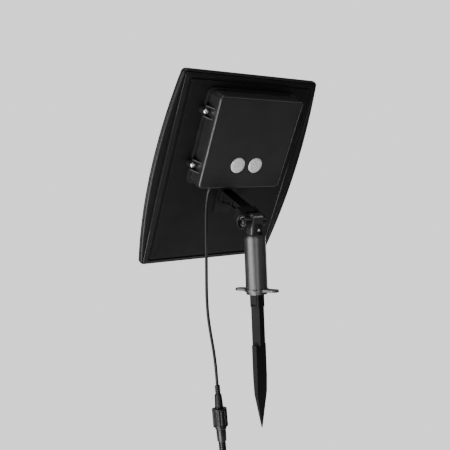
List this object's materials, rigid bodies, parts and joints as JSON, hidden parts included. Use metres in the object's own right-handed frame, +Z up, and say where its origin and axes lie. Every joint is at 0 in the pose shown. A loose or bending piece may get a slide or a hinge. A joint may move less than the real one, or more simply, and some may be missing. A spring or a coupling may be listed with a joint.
{
  "type": "solar light stake",
  "caption": "Solar panel on a tilting arm over a tube post and ground spike, with a control box on its back and a coupled waterproof lead.",
  "frame": {"origin": "on the post's axis at the underside of the screw-down flange, where the ground is in use", "axes": "+Z up along the post, +X along the hinge axis, and the panel's back with the control box faces -Y"},
  "size_m": [0.201, 0.1282, 0.524],
  "materials": {
    "housing": "fine moulded grain",
    "box": "fine moulded grain",
    "tube": "satin",
    "post": "satin",
    "spike": "satin moulded",
    "foam": "matt",
    "white_sheet": "smooth",
    "cells": "glossy silicon",
    "tin": "tinned",
    "cover": "clear",
    "seal": "matt",
    "red_seal": "matt",
    "steel": "zinc plated",
    "button": "matt silicone",
    "web": "matt silicone",
    "board": "solder mask",
    "chips": "moulded",
    "battery": "sleeved cell",
    "lead": "satin",
    "tie": "satin",
    "brass": "plated"
  },
  "bodies": {
    "stake": {"post_tube": "tube", "ground_spike": "spike", "spike_latch": "spike"},
    "head": {"post_head": "post", "head_screw": "steel", "spigot_ring": "seal", "panel_lead": "lead", "plug_body": "lead", "plug_pins": "brass", "connector_seal": "red_seal", "socket_body": "lead", "extension_lead": "lead", "extension_coil": "lead", "coil_tie": "tie", "far_plug": "lead", "far_plug_pins": "brass"},
    "panel": {"rear_housing": "housing", "front_bezel": "housing", "edge_seal": "foam", "backing_board": "white_sheet", "solar_cells": "cells", "busbar_ribbons": "tin", "cover_sheet": "cover", "box_base": "box", "box_lid": "box", "lid_gasket": "seal", "lid_screws": "steel", "button_web": "web", "control_board": "board", "board_components": "chips", "tact_switches": "chips", "battery_holder": "box", "battery_cells": "battery", "battery_contacts": "steel", "cable_gland": "lead", "arm_bracket": "box", "bracket_screws": "steel", "hinge_bolt": "steel", "hinge_nut": "steel", "hinge_washers": "steel"},
    "power_button": {"power_button": "button"},
    "mode_button": {"mode_button": "button"},
    "coupling_nut": {"coupling_nut": "lead"},
    "far_nut": {"far_nut": "lead"}
  },
  "joints": [
    {"name": "head_swivel", "type": "hinge", "parent": "stake", "child": "head", "pos_m": [0, 0, 0.048], "axis": [0, 0, 1], "continuous": true},
    {"name": "panel_tilt", "type": "hinge", "parent": "head", "child": "panel", "pos_m": [0, 0, 0.077], "axis": [1, 0, 0], "range_deg": [-28.5, 51.5], "deforming": ["panel_lead"]},
    {"name": "power_press", "type": "slide", "parent": "panel", "child": "power_button", "axis": [0, 0.8788, 0.4772], "range_m": [0, 0.0008], "stiffness_N_per_m": 1500},
    {"name": "mode_press", "type": "slide", "parent": "panel", "child": "mode_button", "axis": [0, 0.8788, 0.4772], "range_m": [0, 0.0008], "stiffness_N_per_m": 1500},
    {"name": "coupling_nut_turn", "type": "hinge", "parent": "head", "child": "coupling_nut", "pos_m": [-0.033, 0.0356, -0.1047], "axis": [0, 0.0785, 0.9969], "range_deg": [0, 720]},
    {"name": "far_nut_turn", "type": "hinge", "parent": "head", "child": "far_nut", "pos_m": [-0.069, 0.029, -0.243], "axis": [0, 0, 1], "continuous": true}
  ]
}
